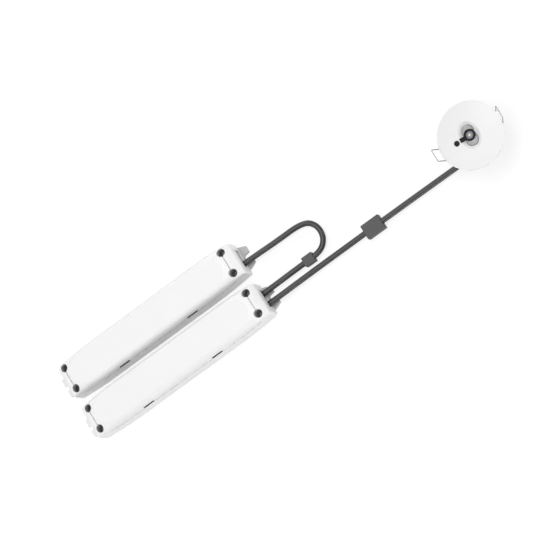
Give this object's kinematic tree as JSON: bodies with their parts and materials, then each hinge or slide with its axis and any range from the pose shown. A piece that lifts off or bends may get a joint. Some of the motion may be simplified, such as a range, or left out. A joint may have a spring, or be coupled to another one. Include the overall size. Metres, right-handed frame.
{
  "type": "emergency downlight",
  "caption": "Recessed emergency downlight with spring clips, lens and test button, cabled to a long control gear box and a matching battery box.",
  "frame": {"origin": "on the ground, below the middle of the kit without its cables", "axes": "+X from the boxes to the head along the boxes, +Y from the battery box to the control gear box, +Z out of the face of the head"},
  "size_m": [0.6724, 0.124, 0.0576],
  "materials": {
    "bare_aluminium": "die-cast",
    "black_plastic": "satin black",
    "cable_sheath": "satin sheath",
    "capacitor_sleeve": "heat-shrunk",
    "cell_sleeve": "heat-shrunk",
    "circuit_board": "solder mask",
    "clear_lens": "clear",
    "connector_plastic": "fine matt moulding",
    "contact_brass": "bright",
    "copper_winding": "enamelled",
    "ferrite": "dull",
    "foam": "foam",
    "fuse_glass": "clear",
    "grey_pad": "matt",
    "inner_plastic": "fine matt moulding",
    "led_phosphor": "silicone dome",
    "nickel": "bright",
    "rubber_gland": "matt",
    "spring_steel": "bright wire",
    "white_board": "white solder mask",
    "white_cap": "satin white moulding",
    "white_paint": "satin white",
    "white_plastic": "satin white moulding",
    "wire_insulation": "smooth",
    "zinc_steel": "zinc plated"
  },
  "bodies": {
    "kit": {"battery_base": "white_plastic", "battery_board": "circuit_board", "battery_board_screws": "zinc_steel", "battery_cable_clamp": "inner_plastic", "battery_cells": "cell_sleeve", "battery_clamp_screw": "zinc_steel", "battery_cover": "white_plastic", "battery_cover_screws": "zinc_steel", "battery_cradle": "inner_plastic", "battery_terminals": "inner_plastic", "battery_wires": "wire_insulation", "beam_lens": "clear_lens", "ceiling_gasket": "foam", "cell_straps": "black_plastic", "cell_tags": "nickel", "clip_pins": "spring_steel", "gear_base": "white_plastic", "gear_board": "circuit_board", "gear_board_screws": "zinc_steel", "gear_cable_clamp": "inner_plastic", "gear_capacitors": "capacitor_sleeve", "gear_choke": "copper_winding", "gear_clamp_screw": "zinc_steel", "gear_cover": "white_plastic", "gear_cover_screws": "zinc_steel", "gear_fuse": "fuse_glass", "gear_heat_spreader": "bare_aluminium", "gear_power_devices": "black_plastic", "gear_transformer": "ferrite", "gear_wires": "wire_insulation", "head_cable_battery_end": "cable_sheath", "head_cable_head_end": "cable_sheath", "head_connector_bottom": "connector_plastic", "head_connector_contacts": "contact_brass", "head_connector_top": "connector_plastic", "head_gland": "rubber_gland", "head_terminals": "inner_plastic", "heat_sink": "bare_aluminium", "led_board": "white_board", "led_board_screws": "zinc_steel", "led_emitter": "led_phosphor", "lens_retainer": "black_plastic", "link_cable_battery_end": "cable_sheath", "link_cable_gear_end": "cable_sheath", "link_connector_bottom": "connector_plastic", "link_connector_contacts": "contact_brass", "link_connector_top": "connector_plastic", "link_terminals": "inner_plastic", "mains_terminals": "inner_plastic", "rear_cap": "white_cap", "rear_cap_screws": "zinc_steel", "test_switch": "black_plastic", "thermal_pad": "grey_pad", "trim_bezel": "white_paint", "trim_screws": "zinc_steel"},
    "right_clip": {"right_spring_clip": "spring_steel"},
    "left_clip": {"left_spring_clip": "spring_steel"},
    "button": {"test_button": "black_plastic"}
  },
  "joints": [
    {"name": "right_clip_hinge", "type": "hinge", "parent": "kit", "child": "right_clip", "pos_m": [0.31955, -0.02046, 0.031], "axis": [0.0314, 0.9995, 0], "range_deg": [0, 143], "stiffness_Nm_per_rad": 0.06, "springref_deg": -14.32},
    {"name": "left_clip_hinge", "type": "hinge", "parent": "kit", "child": "left_clip", "pos_m": [0.25658, -0.01849, 0.031], "axis": [-0.0314, -0.9995, 0], "range_deg": [0, 143], "stiffness_Nm_per_rad": 0.06, "springref_deg": -14.32},
    {"name": "test_button_press", "type": "slide", "parent": "kit", "child": "button", "axis": [0, 0, -1], "range_m": [0, 0.0008], "stiffness_N_per_m": 800, "springref_m": -0.0005}
  ]
}
